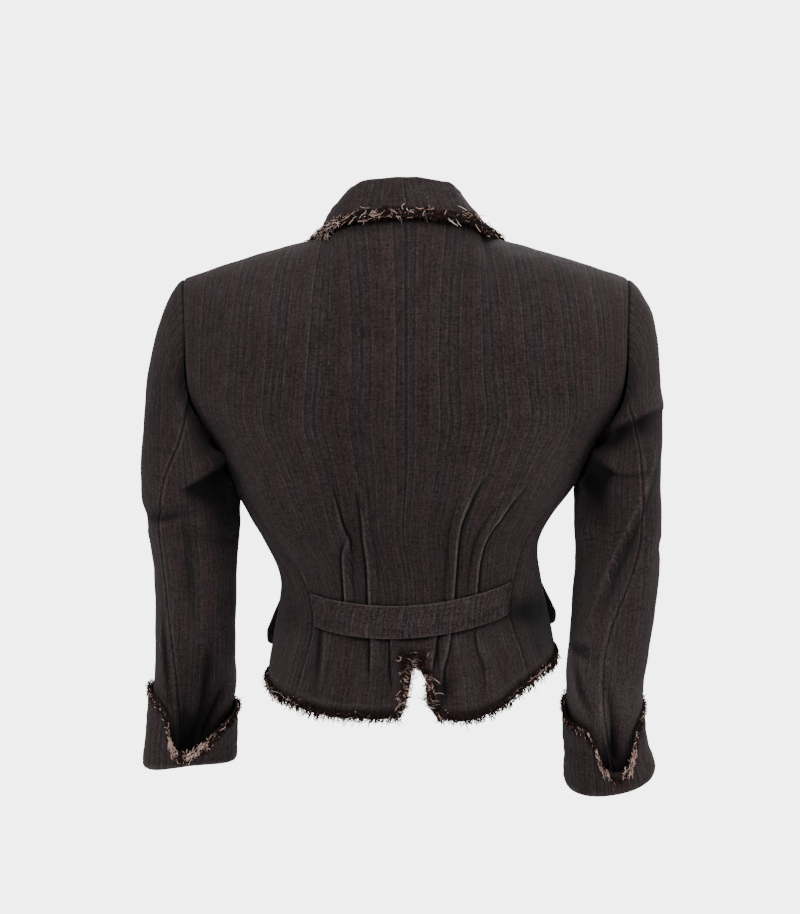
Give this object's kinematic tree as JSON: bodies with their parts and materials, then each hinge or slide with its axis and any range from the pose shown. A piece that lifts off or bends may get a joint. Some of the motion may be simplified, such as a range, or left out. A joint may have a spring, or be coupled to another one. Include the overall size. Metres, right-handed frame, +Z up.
{
  "type": "denim blazer",
  "caption": "Cropped dark denim blazer with brown stripes in a hollow worn pose: notched lapels, waist tucks under a half belt, turned-up cuffs, frayed collar, cuffs, vent and hem.",
  "frame": {"origin": "middle of the neck, level with the inner ends of the shoulder seams, where the wearer's shoulders hold the garment", "axes": "+Z up towards the collar, +X towards the wearer's left, +Y towards the back; the wearer faces -Y"},
  "size_m": [0.4674, 0.2459, 0.5502],
  "materials": {
    "denim": "washed brown-black striped denim twill, matt",
    "belt_denim": "the same denim with worn, lighter edges",
    "frayed_yarn": "loose dark and pink-beige cotton yarn ends",
    "button": "dark imitation horn, satin"
  },
  "bodies": {
    "root": {"back_left": "denim", "back_right": "denim", "side_left": "denim", "side_right": "denim", "front_left": "denim", "front_right": "denim", "lapel_left": "denim", "lapel_right": "denim", "flap_left": "denim", "flap_right": "denim", "upper_sleeve_left": "denim", "upper_sleeve_right": "denim", "under_sleeve_left": "denim", "under_sleeve_right": "denim", "cuff_left": "denim", "cuff_right": "denim", "collar": "denim", "half_belt": "belt_denim", "fringe_hem_left": "frayed_yarn", "fringe_hem_right": "frayed_yarn", "fringe_vent_left": "frayed_yarn", "fringe_vent_right": "frayed_yarn", "fringe_cuff_left": "frayed_yarn", "fringe_cuff_right": "frayed_yarn", "fringe_lapel_left": "frayed_yarn", "fringe_lapel_right": "frayed_yarn", "fringe_front_right": "frayed_yarn", "fringe_collar": "frayed_yarn", "button_1": "button", "button_2": "button", "button_3": "button"}
  },
  "joints": []
}
